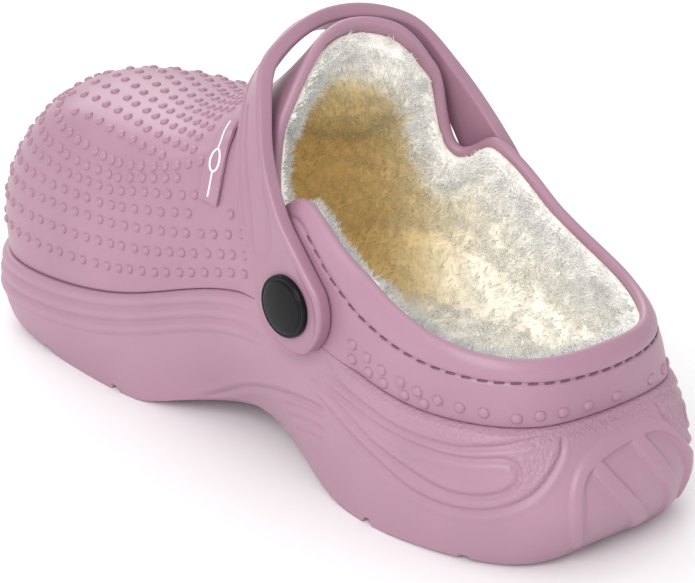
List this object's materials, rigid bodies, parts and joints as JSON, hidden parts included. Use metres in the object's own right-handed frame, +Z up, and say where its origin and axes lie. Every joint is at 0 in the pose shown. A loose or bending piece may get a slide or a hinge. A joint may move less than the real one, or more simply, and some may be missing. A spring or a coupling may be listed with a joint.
{
  "type": "clog slipper",
  "caption": "Moulded foam clog with a fleece-lined hollow, closed toe, heel strap swung forward over the instep on button rivets, a cupped ribbed sole and a bare raised strip on the vamp",
  "frame": {"origin": "On the floor under the middle of the shoe's box, at z = 0, the plane its heel and forefoot stand on", "axes": "+Y points to the toe, +X to the outer (little-toe) side, +Z up"},
  "size_m": [0.1052, 0.271, 0.1363],
  "materials": {
    "foam": "satin moulded foam",
    "foam_sole": "fine grained moulded foam",
    "fleece": "long soft pile",
    "rivet": "glossy"
  },
  "bodies": {
    "root": {"upper": "foam", "sole": "foam_sole", "insole": "fleece", "strap": "foam", "badge": "foam_sole", "rivet_inner": "rivet", "rivet_outer": "rivet"}
  },
  "joints": []
}
